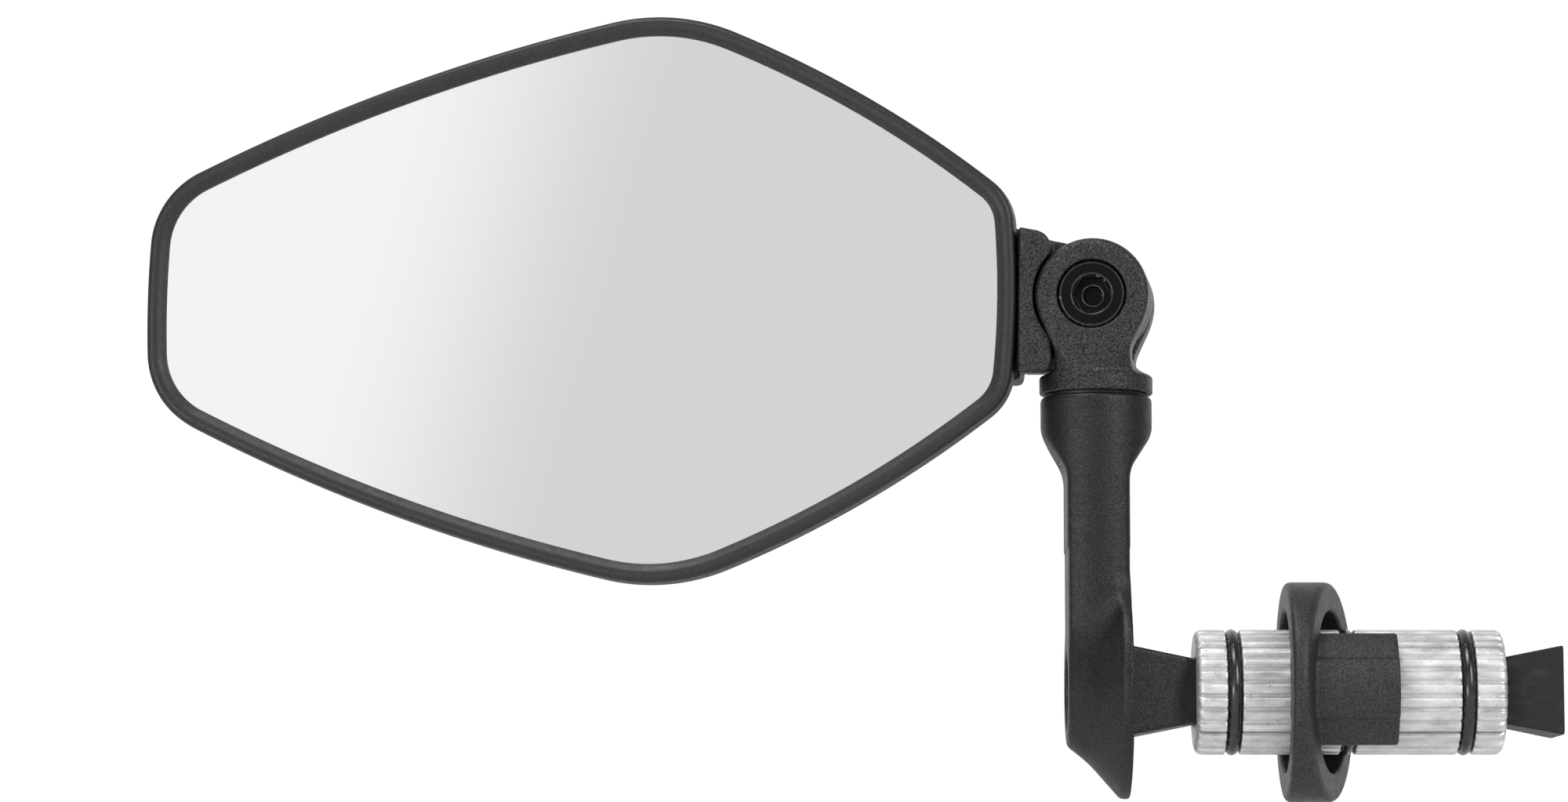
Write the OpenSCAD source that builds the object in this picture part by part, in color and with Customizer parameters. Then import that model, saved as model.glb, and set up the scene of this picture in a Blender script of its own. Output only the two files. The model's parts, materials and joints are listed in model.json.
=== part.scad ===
// Bar-end mirror for a bicycle handlebar, with an expanding plug.
// The origin is where the plug's axis meets the inner face of the foot cap. +X runs inboard
// along the handlebar, +Z up the arm, and the mirror faces -Y.

/* [Mirror head] */
// Overall width of the mirror head
mirror_w = 132.9; // [110:0.1:160]
// Overall height of the mirror head
mirror_h = 86; // [72:0.1:104]
// Distance of the tallest point from the middle, towards the hinge
apex_shift = 11.5; // [4:0.5:16]
// Outline radius of the corners beside the hinge
hinge_corner_r = 9; // [7.5:0.1:11]
// Outline radius of the corners at the free end
free_corner_r = 13.2; // [9:0.1:16]
// Outline radius at the tallest and lowest point
apex_r = 30.6; // [24:0.1:40]
// Visible width of the rim around the glass
rim_w = 3; // [2.4:0.1:4]
// Height of the rim's crown above the seam between rim and shell
rim_h = 4; // [3.2:0.1:6]
// Thickness of the mirror glass
glass_t = 2; // [1.6:0.1:3]
// Thickness of the adhesive pad behind the glass
pad_t = 0.8; // [0.5:0.1:1.2]
// Depth of the shell behind the seam, at its edge
shell_depth = 8; // [7:0.1:12]
// Extra depth of the shell's crown in the middle of its back
shell_crown = 1.4; // [0.5:0.1:3]
// Wall of the shell's back
shell_wall = 2.2; // [1.6:0.1:3]
// Width of the shell's side wall, which is also the ledge under the pad
shell_ledge = 3.8; // [3.2:0.1:5]
// Distance from the outline to where the shell's back starts to rise to its crown
crown_inset = 7; // [6:0.5:7.2]

/* [Hinge] */
// Height of the hinge axis above the plug's axis
hinge_z = 58.6; // [54:0.1:80]
// Radius of the three hinge ears
ear_r = 8.45; // [8:0.05:10.1]
// Thickness of the fork's front ear
front_ear_t = 5.3; // [5:0.1:7]
// Thickness of the head's middle ear
mid_ear_t = 4.4; // [3.6:0.1:6]
// Thickness of the fork's back ear
back_ear_t = 4.7; // [4.2:0.1:6]
// Thickness of each friction disc between the ears
disc_t = 0.4; // [0.3:0.05:0.8]
// Distance from the hinge axis to the face where the hinge block meets the shell
seat_x = 11; // [11:0.1:16]
// Height of the hinge block above the hinge axis
block_up = 10.1; // [9.5:0.1:12]
// Depth of the hinge block below the hinge axis
block_down = 11.8; // [11:0.1:12.2]
// Width of the fork's neck
neck_w = 10.4; // [9:0.1:11]
// Turn of the fork and head about the post
head_yaw = -7; // [-180:1:180]
// Turn of the head about the hinge screw, positive lifting its free end
head_tilt = 0.8; // [-1:0.1:170]

/* [Arm and foot] */
// Thickness of the arm, measured along the handlebar
arm_t = 9.3; // [8.5:0.1:12]
// Radius of the round collar and of the arm's front and back
collar_r = 8.3; // [8:0.1:11]
// Radius of the fork's round flange
flange_r = 8.45; // [8:0.05:11]
// Straight height of the round collar
collar_h = 5.6; // [4:0.1:9]
// Height of the taper between the arm and the collar
taper_h = 5.6; // [4:0.1:9]
// Radius of the foot cap, which covers the end of the grip
cap_r = 15.8; // [14:0.1:19]
// Radius of the flat on the outer face of the foot cap
cap_flat_r = 6.9; // [6.6:0.1:9]
// Width of the cylindrical lip round the foot cap
cap_lip = 1.4; // [1:0.1:3]
// Radius of the swivel spigot under the fork
spigot_r = 4; // [3.5:0.1:4.4]
// Length of the swivel spigot
spigot_l = 9.8; // [8:0.1:14]

/* [Expander plug] */
// Outer diameter of the plug before it is tightened
plug_d = 18.5; // [15.4:0.1:20]
// Length of the four segments
seg_l = 45.5; // [36:0.1:60]
// Distance from the foot cap to the segments
seg_x = 9.6; // [8:0.1:12]
// Gap between neighbouring segments
seg_gap = 0.25; // [0.15:0.05:0.5]
// Ribs on each segment
rib_count = 7; // [5:1:9]
// Width of the grooves between the ribs
flute_w = 0.5; // [0.3:0.05:0.7]
// Depth of the grooves between the ribs
flute_d = 0.5; // [0.3:0.05:0.8]
// Thickness of the rubber rings
ring_t = 2; // [1.6:0.1:2.4]
// How far the rubber rings stand out of the ribs
ring_proud = 0.12; // [0.05:0.01:0.18]
// Width across flats of each wedge at its wide end
wedge_w = 13.2; // [12.5:0.1:14]
// Slope of the wedges' faces
wedge_angle = 11; // [9:0.5:13]
// Length of the near wedge, which is one with the foot
near_wedge_l = 12; // [11:0.5:14]
// Length of the far wedge
far_wedge_l = 11.8; // [11:0.1:14]
// Length of the far wedge that is outside the segments
far_wedge_out = 8.5; // [7:0.1:9]
// Nominal diameter of the two socket screws
screw_d = 6; // [5:1:6]

/* [Grip-end ring] */
// Outer diameter of the ring
grip_ring_d = 32.6; // [30:0.1:38]
// Bore of the ring
grip_ring_bore = 24; // [23.4:0.1:26]
// Bore of the tongues, which reach over the handlebar
tongue_bore = 22.2; // [22:0.1:23]
// Thickness of the ring at its thinnest, on the front
ring_thin = 2.3; // [1.8:0.1:4]
// Thickness of the ring at its thickest, on the back
ring_thick = 12.2; // [8:0.1:14]
// Reach of the tongues from the ring's flat face
tongue_l = 16; // [12:0.5:22]
// Half of the angle that each tongue spans
tongue_half_angle = 45; // [30:1:55]
// Distance from the foot cap to the ring
grip_ring_x = 23; // [0:0.5:38]

/* [Hidden] */
$fn = 96;

eps = 0.01;
fit_gap = 0.06;                     // radial clearance of a turning fit
slip_gap = 0.05;                    // clearance between sliding faces
seat_gap = 0.15;                    // clearance of a piece in its pocket

// Depths in the head, measured backwards from the hinge's middle plane
seam_y = -3;
crown_y = seam_y - rim_h;
glass_back_y = seam_y - pad_t;
glass_front_y = glass_back_y - glass_t;
lip_front_y = glass_front_y - 0.7;
pocket_inset = rim_w - 0.7;
back_y = seam_y + shell_depth;
floor_y = back_y - shell_wall;

// Hinge stack, front to back
ear_gap = disc_t + slip_gap;
mid_front_y = -mid_ear_t / 2;
mid_back_y = mid_ear_t / 2;
front_in_y = mid_front_y - ear_gap;
front_out_y = front_in_y - front_ear_t;
back_in_y = mid_back_y + ear_gap;
back_out_y = back_in_y + back_ear_t;
ear_clear = 0.3;                    // room between an ear's rim and what curves round it
block_front_y = front_out_y + 0.5;
block_back_y = back_out_y - 0.3;
lobe_x = ear_r - 2.2;               // how near the block's lobes come to the hinge axis
tongue_w = 13;
tongue_reach = 19;
tongue_t = 3;
block_screw_x = [6, 14];            // from the seat face to each screw
block_screw_r = 2;
block_head_r = 3.9;
block_head_h = 1;
block_hex_r = 1.25 / cos(30);
head_sink = 0.9;                    // depth of the recesses for the block screws' heads
mirror_x = -seat_x - 0.2 - mirror_w / 2;
mirror_z = -0.25;

// Low-head socket screws with a pilot recess, and their nut
screw_r = screw_d / 2;
head_r = screw_d * 10 / 12;
head_h = screw_d * 2 / 3;
hex_r = screw_d * 5 / 6 / 2 / cos(30);
hex_depth = head_h * 0.62;
pilot_r = screw_r / 2;
pilot_depth = head_h;
recess_r = head_r + 0.15;
nut_r = screw_d * 10 / 6 / 2 / cos(30);
nut_h = 4;
nut_sink = 2.4;
hinge_screw_l = 12;

// Post: the arm's column, the collar and the fork's swivel
post_x = -arm_t / 2;
washer_t = 0.35;
flange_drop = 14.25;                // hinge axis to the flange's under face
flange_h = 2.6;
flange_edge = 0.5;
neck_drop = 10.3;
neck_flare = 0.55;                  // how much wider each side of the neck's foot is
collar_top = hinge_z - flange_drop - washer_t - 0.03;
taper_top = collar_top - collar_h;
taper_bottom = taper_top - taper_h;
edge_r = 0.8;
bush_wall = 1.4;
bush_r = spigot_r + fit_gap + bush_wall;
spigot_top = hinge_z - flange_drop;
spigot_bottom = spigot_top - spigot_l;
bush_bottom = spigot_bottom - 0.6;
grub_r = 2;
grub_tip_r = grub_r - 0.6;
grub_hex_r = 1 / cos(30);
grub_z = collar_top - 4.7;
groove_d = 0.7;

// Plug
plug_r = plug_d / 2;
seg_end = seg_x + seg_l;
slope = tan(wedge_angle);
channel = screw_r + 0.2;
seg_edge = 1.2;
near_mouth = wedge_w / 2 - slope * seg_x;
far_end = seg_end + far_wedge_out;
far_mouth = wedge_w / 2 - slope * far_wedge_out;
wedge_trim = 0.15;                  // how far the wedge's chamfered corners stay inside the ribs
ring_r = ring_t / 2;
ring_centre_r = plug_r + ring_proud - ring_r;
ring_x = [seg_x + seg_l * 0.122, seg_x + seg_l * 0.495, seg_x + seg_l * 0.876];
bolt_recess_r = head_r + 0.7;
bolt_recess_d = 7;
bolt_washer_t = 1.6;
bolt_head_x = -arm_t + bolt_recess_d - bolt_washer_t;
bolt_end = far_end - 3.2;            // the bolt stops inside the far wedge's bore
bolt_hole_r = screw_r + 0.3;

// ---------- outline of the mirror head ----------

// Direction of the outline's outward normal where one arc of its upper half gives way to the next
turns = [0, 5, 52.1, 67.3, 102.9, 116.3, 177, 180];
steps = [2, 7, 5, 7, 6, 9, 2];

// Solves [a b; c d] [x y] = [e f]
function solve2(a, b, c, d, e, f) =
    let (det = a * d - b * c) [(e * d - b * f) / det, (a * f - e * c) / det];

// The long arcs take the radii that close the outline at the stated width, height and apex
function hinge_side_radii() =
    solve2(sin(turns[1]), sin(turns[3]) - sin(turns[2]),
        1 - cos(turns[1]), cos(turns[2]) - cos(turns[3]),
        mirror_h / 2 - hinge_corner_r * (sin(turns[2]) - sin(turns[1])) - apex_r * (1 - sin(turns[3])),
        mirror_w / 2 - apex_shift - hinge_corner_r * (cos(turns[1]) - cos(turns[2]))
            - apex_r * cos(turns[3]));

function free_side_radii() =
    solve2(sin(turns[4]) - sin(turns[5]), sin(turns[6]),
        cos(turns[4]) - cos(turns[5]), 1 + cos(turns[6]),
        mirror_h / 2 - apex_r * (1 - sin(turns[4])) - free_corner_r * (sin(turns[5]) - sin(turns[6])),
        mirror_w / 2 + apex_shift + apex_r * cos(turns[4])
            - free_corner_r * (cos(turns[5]) - cos(turns[6])));

hinge_side = hinge_side_radii();
free_side = free_side_radii();
arc_radii = [hinge_side[0], hinge_corner_r, hinge_side[1], apex_r, free_side[0], free_corner_r,
    free_side[1]];

function unit(a) = [cos(a), sin(a)];

function arc_start(k) =
    k == 0 ? [mirror_w / 2, 0] : arc_start(k - 1) + arc_radii[k - 1] * (unit(turns[k]) - unit(turns[k - 1]));

// Points of the upper half, moved in by inset, from the hinge side to the free side
function upper_half(inset) = [
    for (k = [0:6], i = [0:steps[k] - 1])
        let (a = turns[k] + (turns[k + 1] - turns[k]) * i / steps[k])
            arc_start(k) + arc_radii[k] * (unit(a) - unit(turns[k])) - inset * unit(a),
    [-mirror_w / 2 + inset, 0]
];

function outline(inset) =
    let (up = upper_half(inset), n = len(up))
        concat(up, [for (i = [n - 2:-1:1]) [up[i][0], -up[i][1]]]);

// Flat plate with the head's outline, from depth y0 to y1
module plate(inset, y0, y1) {
    translate([0, y1, 0])
        rotate([90, 0, 0])
            linear_extrude(y1 - y0)
                polygon(outline(inset));
}

// Solid through levels of [inset, depth, shrink], listed from front to back
module loft(levels) {
    n = len(outline(0));
    m = len(levels);
    points = [
        for (l = levels, p = outline(l[0]))
            [p[0] * l[2], l[1], p[1] * l[2]]
    ];
    faces = concat(
        [[for (i = [n - 1:-1:0]) i]],
        [for (j = [0:m - 2], i = [0:n - 1])
            [j * n + i, j * n + (i + 1) % n, (j + 1) * n + (i + 1) % n, (j + 1) * n + i]],
        [[for (i = [0:n - 1]) (m - 1) * n + i]]);
    polyhedron(points, faces);
}

// Closed band with a profile of [inset, depth] points swept round the outline
module band(profile) {
    n = len(outline(0));
    m = len(profile);
    points = [
        for (q = profile, p = outline(q[0]))
            [p[0], q[1], p[1]]
    ];
    faces = [
        for (j = [0:m - 1], i = [0:n - 1])
            [j * n + i, j * n + (i + 1) % n, ((j + 1) % m) * n + (i + 1) % n, ((j + 1) % m) * n + i]
    ];
    polyhedron(points, faces);
}

// ---------- placing ----------

// Fork frame: origin on the hinge axis, turned about the post
module at_fork() {
    translate([post_x, 0, hinge_z])
        rotate([0, 0, head_yaw])
            children();
}

// Head frame: origin on the hinge axis, X towards the post, Y backwards
module at_head() {
    at_fork()
        rotate([0, head_tilt, 0])
            children();
}

module at_mirror() {
    at_head()
        translate([mirror_x, 0, mirror_z])
            children();
}

// Cylinder along Y from y0 to y1
module rod_y(r, y0, y1, sides = $fn) {
    translate([0, y1, 0])
        rotate([90, 0, 0])
            cylinder(r = r, h = y1 - y0, $fn = sides);
}

// Cylinder along X from x0 to x1
module rod_x(r, x0, x1, sides = $fn) {
    translate([x0, 0, 0])
        rotate([0, 90, 0])
            cylinder(r = r, h = x1 - x0, $fn = sides);
}

// Outline in X and Z, pushed through from y0 to y1
module prism_y(points, y0, y1) {
    translate([0, y1, 0])
        rotate([90, 0, 0])
            linear_extrude(y1 - y0)
                polygon(points);
}

// Ring about Z with square edges
module washer(outer, inner, h) {
    difference() {
        cylinder(r = outer, h = h);
        translate([0, 0, -eps])
            cylinder(r = inner, h = h + 2 * eps);
    }
}

// ---------- mirror head ----------

module mirror_glass() {
    color("gainsboro")
        at_mirror()
            plate(pocket_inset + seat_gap, glass_front_y, glass_back_y);
}

module glass_pad() {
    color("dimgray")
        at_mirror()
            plate(pocket_inset + seat_gap + 0.6, glass_back_y, seam_y);
}

module rim() {
    side = rim_h * 0.4;
    color([0.2, 0.2, 0.2])
        at_mirror()
            band([
                [0, seam_y],
                [0, seam_y - side],
                [0.15, seam_y - side * 1.6],
                [0.55, crown_y + 0.3],
                [1.1, crown_y],
                [1.6, crown_y + 0.08],
                [2.2, lip_front_y - 0.12],
                [rim_w, lip_front_y + 0.3],
                [rim_w, glass_front_y],
                [pocket_inset, glass_front_y],
                [pocket_inset, seam_y]
            ]);
}

module block_tongue(gap) {
    translate([-seat_x - tongue_reach - gap, floor_y - tongue_t - gap, -tongue_w / 2 - gap])
        cube([tongue_reach + gap + eps, tongue_t + gap, tongue_w + 2 * gap]);
}

module back_shell() {
    rib_t = 1.6;
    rib_pitch = 11.5;
    cavity = shell_ledge;
    shell_step = 0.25;
    shell_draft = 0.9;
    color([0.16, 0.16, 0.17])
        difference() {
            union() {
                at_mirror() {
                    difference() {
                        loft([
                            [shell_step, seam_y, 1],
                            [shell_draft, back_y - 3.4, 1],
                            [shell_draft + 0.5, back_y - 1.7, 1],
                            [shell_draft + 1.5, back_y - 0.6, 1],
                            [shell_draft + 3, back_y, 1],
                            [crown_inset, back_y + shell_crown * 0.15, 1],
                            [crown_inset, back_y + shell_crown * 0.55, 0.8],
                            [crown_inset, back_y + shell_crown * 0.85, 0.55],
                            [crown_inset, back_y + shell_crown, 0.3]
                        ]);
                        loft([
                            [cavity, seam_y - 1, 1],
                            [cavity, floor_y, 1]
                        ]);
                    }
                    intersection() {
                        plate(cavity - 0.5, seam_y, floor_y + eps);
                        union() {
                            for (k = [-5:5])
                                translate([k * rib_pitch - rib_t / 2, seam_y, -mirror_h / 2])
                                    cube([rib_t, floor_y - seam_y + eps, mirror_h]);
                            for (k = [-3:3])
                                translate([-mirror_w / 2, seam_y, k * rib_pitch - rib_t / 2])
                                    cube([mirror_w, floor_y - seam_y + eps, rib_t]);
                        }
                    }
                }
                at_head()
                    translate([-seat_x - 4, seam_y, -block_down - 0.5])
                        cube([4, back_y - seam_y, block_up + block_down + 1.4]);
            }
            at_head() {
                block_tongue(slip_gap);
                for (x = block_screw_x)
                    translate([-seat_x - x, 0, 0]) {
                        rod_y(block_screw_r + slip_gap, floor_y - 1, back_y + 1);
                        rod_y(block_head_r + seat_gap, back_y - head_sink, back_y + 2);
                    }
            }
        }
}

// ---------- hinge ----------

// Side outline of the block's two lobes before they are hollowed round the ears
function lobe_outline() = [
    [-seat_x, -block_down], [-seat_x + 2.8, -block_down + 0.2], [-lobe_x - 1, -block_down + 1.3],
    [-lobe_x - 0.1, -block_down + 2.6], [-lobe_x, -block_down + 3.6], [-lobe_x, block_up - 2.2],
    [-lobe_x - 0.3, block_up - 1.3], [-lobe_x - 1, block_up - 0.75],
    [-seat_x + 0.6, block_up], [-seat_x, block_up - 0.5]
];

// The web runs from the block to the ear, tangent to the ear at the top
function web_outline() =
    let (reach = sqrt(pow(seat_x, 2) + pow(block_up, 2)),
        lean = atan2(block_up, -seat_x) - acos(ear_r / reach))
    [
        [-seat_x, -block_down + 0.6], [-lobe_x - 1, -block_down + 1.3],
        [-lobe_x - 0.1, -block_down + 2.6],
        [-lobe_x + 0.2, -ear_r + 1.6], [0, 0],
        ear_r * unit(lean),
        [-seat_x, block_up - 0.3]
    ];

module hinge_block() {
    color([0.2, 0.2, 0.2])
        at_head()
            difference() {
                union() {
                    difference() {
                        prism_y(lobe_outline(), block_front_y, block_back_y);
                        rod_y(ear_r + ear_clear, block_front_y - 1, mid_front_y);
                        rod_y(ear_r + ear_clear, mid_back_y, block_back_y + 1);
                    }
                    prism_y(web_outline(), mid_front_y, mid_back_y);
                    rod_y(ear_r, mid_front_y, mid_back_y);
                    block_tongue(0);
                }
                rod_y(screw_r + fit_gap, mid_front_y - 1, mid_back_y + 1);
                for (x = block_screw_x)
                    translate([-seat_x - x, 0, 0])
                        rod_y(block_screw_r, floor_y - tongue_t - 1, floor_y + 1);
            }
}

module block_screws() {
    color([0.35, 0.35, 0.36])
        at_head()
            for (x = block_screw_x)
                translate([-seat_x - x, 0, 0])
                    difference() {
                        union() {
                            rod_y(block_screw_r, floor_y - tongue_t + 0.3, back_y - 0.5);
                            rod_y(block_head_r, back_y - head_sink, back_y - head_sink + block_head_h);
                        }
                        rod_y(block_hex_r, back_y - 0.7, back_y + 1, 6);
                    }
}

function neck_outline() =
    let (w = neck_w / 2, foot = w + neck_flare)
    [
        [-w, -4], [-w, -8], [-w - 0.2, -9.2], [-foot, -neck_drop], [-foot, -flange_drop + 1],
        [foot, -flange_drop + 1], [foot, -neck_drop], [w + 0.2, -9.2], [w, -8], [w, -4]
    ];

module fork() {
    flange_bottom = -flange_drop;
    flange_top = -flange_drop + flange_h;
    spigot_groove_z = grub_z - hinge_z;
    color([0.23, 0.23, 0.23])
        at_fork()
            difference() {
                union() {
                    rod_y(ear_r, front_out_y, back_out_y);
                    intersection() {
                        prism_y(neck_outline(), front_out_y, back_out_y);
                        translate([0, 0, flange_top - 0.5])
                            cylinder(r1 = flange_r - 0.2, r2 = flange_r + 4, h = 10);
                    }
                    translate([0, 0, flange_bottom])
                        cylinder(r1 = flange_r - flange_edge, r2 = flange_r, h = flange_edge);
                    translate([0, 0, flange_bottom + flange_edge])
                        cylinder(r = flange_r, h = flange_h - flange_edge);
                    translate([0, 0, flange_top])
                        cylinder(r1 = flange_r, r2 = neck_w / 2 + 0.4, h = -neck_drop - flange_top);
                    translate([0, 0, -flange_drop - spigot_l])
                        cylinder(r = spigot_r, h = spigot_l + 1);
                }
                translate([-2 * ear_r, front_in_y, -ear_r - ear_clear])
                    cube([4 * ear_r, back_in_y - front_in_y, 3 * ear_r]);
                rod_y(screw_r + fit_gap, front_out_y - 1, back_out_y + 1);
                rod_y(recess_r, front_out_y - 1, front_out_y + head_h + 0.1);
                rod_y(nut_r + seat_gap, back_out_y - nut_sink, back_out_y + 1, 6);
                translate([0, 0, spigot_groove_z - grub_r])
                    washer(spigot_r + 1, spigot_r - groove_d, 2 * grub_r);
            }
}

// Low-head socket screw with a pilot recess, along Y, its head's outer face at y0
module socket_screw_y(y0, shank_l) {
    difference() {
        union() {
            rod_y(head_r, y0, y0 + head_h);
            rod_y(screw_r, y0, y0 + head_h + shank_l);
        }
        rod_y(hex_r, y0 - 1, y0 + hex_depth, 6);
        rod_y(pilot_r, y0 - 1, y0 + pilot_depth);
    }
}

module hinge_screw() {
    color([0.1, 0.1, 0.1])
        at_fork()
            socket_screw_y(front_out_y + 0.1, hinge_screw_l);
}

module hinge_nut() {
    color([0.45, 0.45, 0.46])
        at_fork()
            difference() {
                rod_y(nut_r, back_out_y - nut_sink, back_out_y - nut_sink + nut_h, 6);
                rod_y(screw_r, back_out_y - nut_sink - 1, back_out_y + nut_h);
            }
}

module friction_discs() {
    color([0.12, 0.12, 0.12])
        at_fork()
            for (y = [front_in_y, mid_back_y + slip_gap])
                difference() {
                    rod_y(ear_r - 0.6, y, y + disc_t);
                    rod_y(screw_r + fit_gap, y - 1, y + disc_t + 1);
                }
}

// ---------- post and arm ----------

module swivel_washer() {
    color([0.12, 0.12, 0.12])
        translate([post_x, 0, collar_top])
            washer(collar_r - 1, spigot_r + fit_gap, washer_t);
}

module swivel_bush() {
    color("darkgoldenrod")
        difference() {
            translate([post_x, 0, bush_bottom])
                washer(bush_r, spigot_r + fit_gap, collar_top - bush_bottom);
            translate([post_x, 0, grub_z])
                rod_y(grub_r, 0, bush_r + 1);
        }
}

module swivel_grub_screw() {
    tip_y = spigot_r - groove_d + slip_gap;
    color([0.3, 0.3, 0.3])
        translate([post_x, 0, grub_z])
            difference() {
                union() {
                    rod_y(grub_r, spigot_r + fit_gap + 0.1, collar_r - 0.4);
                    rod_y(grub_tip_r, tip_y, spigot_r + 1);
                }
                rod_y(grub_hex_r, collar_r - 2, collar_r + 1, 6);
            }
}

// Front outline of the arm: narrow column, taper and collar
function arm_outline() = [
    [0, 0], [0, taper_bottom], [post_x + collar_r, taper_top], [post_x + collar_r, collar_top],
    [post_x - collar_r, collar_top], [post_x - collar_r, taper_top], [-arm_t, taper_bottom], [-arm_t, 0]
];

// Square pyramid frustum along X, half as wide as stated at x0 and x1
module frustum_x(x0, half0, x1, half1) {
    side = [[x0, -half0], [x1, -half1], [x1, half1], [x0, half0]];
    deep = max(half0, half1) + 1;
    intersection() {
        prism_y(side, -deep, deep);
        translate([0, 0, -deep])
            linear_extrude(2 * deep)
                polygon(side);
    }
}

// Post cylinder with a rounded top edge
module post_cylinder() {
    translate([post_x, 0, 0]) {
        cylinder(r = collar_r, h = collar_top - edge_r);
        cylinder(r = collar_r - edge_r, h = collar_top);
        translate([0, 0, collar_top - edge_r])
            rotate_extrude()
                translate([collar_r - edge_r, 0])
                    intersection() {
                        circle(r = edge_r);
                        square(edge_r);
                    }
    }
}

module arm() {
    cone_end = -cap_lip;
    color([0.18, 0.18, 0.18])
        difference() {
            union() {
                intersection() {
                    post_cylinder();
                    prism_y(arm_outline(), -collar_r - 1, collar_r + 1);
                }
                rod_x(cap_r, cone_end, 0);
                translate([-arm_t, 0, 0])
                    rotate([0, 90, 0])
                        cylinder(r1 = cap_flat_r, r2 = cap_r, h = arm_t - cap_lip);
                frustum_x(0, wedge_w / 2, near_wedge_l, wedge_w / 2 - slope * near_wedge_l);
            }
            rod_x(bolt_recess_r, -arm_t - 1, -arm_t + bolt_recess_d);
            rod_x(bolt_hole_r, -arm_t, near_wedge_l + 1);
            translate([post_x, 0, bush_bottom])
                cylinder(r = bush_r, h = collar_top);
            translate([post_x, 0, grub_z])
                rod_y(grub_r, 0, collar_r + 1);
        }
}

// ---------- expander plug ----------

module expander_bolt() {
    color([0.4, 0.4, 0.41])
        difference() {
            union() {
                rod_x(head_r, bolt_head_x - head_h, bolt_head_x);
                rod_x(screw_r, bolt_head_x - eps, bolt_end);
            }
            rod_x(hex_r, bolt_head_x - head_h - 1, bolt_head_x - head_h + hex_depth, 6);
            rod_x(pilot_r, bolt_head_x - head_h - 1, bolt_head_x - head_h + pilot_depth);
        }
}

module bolt_washer() {
    color([0.6, 0.6, 0.62])
        difference() {
            rod_x(head_r + 0.4, bolt_head_x, bolt_head_x + bolt_washer_t);
            rod_x(screw_r + 0.2, bolt_head_x - 1, bolt_head_x + bolt_washer_t + 1);
        }
}

// Rounded-end sleeve that the four segments are cut from
module plug_sleeve() {
    rotate([0, 90, 0])
        rotate_extrude() {
            square_part = plug_r - seg_edge;
            translate([0, seg_x])
                square([square_part, seg_l]);
            translate([0, seg_x + seg_edge])
                square([plug_r, seg_l - 2 * seg_edge]);
            for (x = [seg_x + seg_edge, seg_end - seg_edge])
                intersection() {
                    translate([square_part, x])
                        circle(r = seg_edge);
                    translate([0, seg_x])
                        square([plug_r, seg_l]);
                }
        }
}

// Groove for one rubber ring
module ring_groove(x) {
    translate([x - ring_r - 0.1, 0, 0])
        rotate([0, 90, 0])
            washer(plug_r + 1, ring_centre_r - ring_r, ring_t + 0.2);
}

// One quarter of the plug: the piece whose outside faces +Z
module segment() {
    pitch = 90 / rib_count;
    gap = seg_gap / 2 * sqrt(2);
    reach = plug_r + 1;
    difference() {
        intersection() {
            plug_sleeve();
            rotate([0, 90, 0])
                linear_extrude(far_end)
                    polygon([[-gap, 0], [-gap - reach, reach], [-gap - reach, -reach]]);
        }
        translate([seg_x - 1, -reach, -1])
            cube([seg_l + 2, 2 * reach, channel + 1]);
        frustum_x(seg_x - 1, near_mouth + slope + slip_gap,
            seg_x + (near_mouth - channel) / slope, channel);
        frustum_x(seg_end - (far_mouth - channel) / slope, channel,
            seg_end + 1, far_mouth + slope + slip_gap);
        for (k = [0:rib_count])
            rotate([k * pitch - 45, 0, 0])
                translate([seg_x - 1, -flute_w / 2, plug_r - flute_d])
                    cube([seg_l + 2, flute_w, 2]);
        for (x = ring_x)
            ring_groove(x);
    }
}

module segment_top() {
    color("silver")
        segment();
}

module segment_back() {
    color("silver")
        rotate([-90, 0, 0])
            segment();
}

module segment_bottom() {
    color("silver")
        rotate([180, 0, 0])
            segment();
}

module segment_front() {
    color("silver")
        rotate([90, 0, 0])
            segment();
}

module rubber_ring(x) {
    color([0.08, 0.08, 0.08])
        translate([x, 0, 0])
            rotate([0, 90, 0])
                rotate_extrude()
                    translate([ring_centre_r, 0])
                        circle(r = ring_r - 0.02);
}

module o_ring_near() {
    rubber_ring(ring_x[0]);
}

module o_ring_middle() {
    rubber_ring(ring_x[1]);
}

module o_ring_far() {
    rubber_ring(ring_x[2]);
}

module far_wedge() {
    corner = plug_r - wedge_trim;
    color([0.22, 0.22, 0.22])
        difference() {
            intersection() {
                frustum_x(far_end - far_wedge_l, wedge_w / 2 - slope * far_wedge_l, far_end, wedge_w / 2);
                rotate([45, 0, 0])
                    translate([0, -corner, -corner])
                        cube([far_end + 1, 2 * corner, 2 * corner]);
            }
            rod_x(screw_r + slip_gap, 0, far_end + 1);
        }
}

// ---------- grip-end ring ----------

module grip_ring() {
    outer_r = grip_ring_d / 2;
    bore_r = grip_ring_bore / 2;
    lean = (ring_thick - ring_thin) / grip_ring_d;
    mid = (ring_thick + ring_thin) / 2;
    far = outer_r + 2;
    spread = 3 * outer_r;
    half = tongue_half_angle;
    color([0.25, 0.25, 0.26])
        translate([grip_ring_x, 0, 0]) {
            difference() {
                intersection() {
                    rod_x(outer_r, 0, ring_thick + 1);
                    translate([0, 0, -far])
                        linear_extrude(2 * far)
                            polygon([
                                [0, -far], [mid - lean * far, -far],
                                [mid + lean * far, far], [0, far]
                            ]);
                }
                rod_x(bore_r, -1, ring_thick + 2);
            }
            for (turn = [90, -90])
                rotate([turn, 0, 0])
                    intersection() {
                        difference() {
                            rod_x(bore_r + eps, 0, tongue_l);
                            rod_x(tongue_bore / 2, -1, tongue_l + 1);
                        }
                        rotate([0, 90, 0])
                            linear_extrude(tongue_l)
                                polygon([
                                    [0, 0], -spread * [cos(half), sin(half)],
                                    -spread * [cos(half), -sin(half)]
                                ]);
                    }
        }
}

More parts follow.
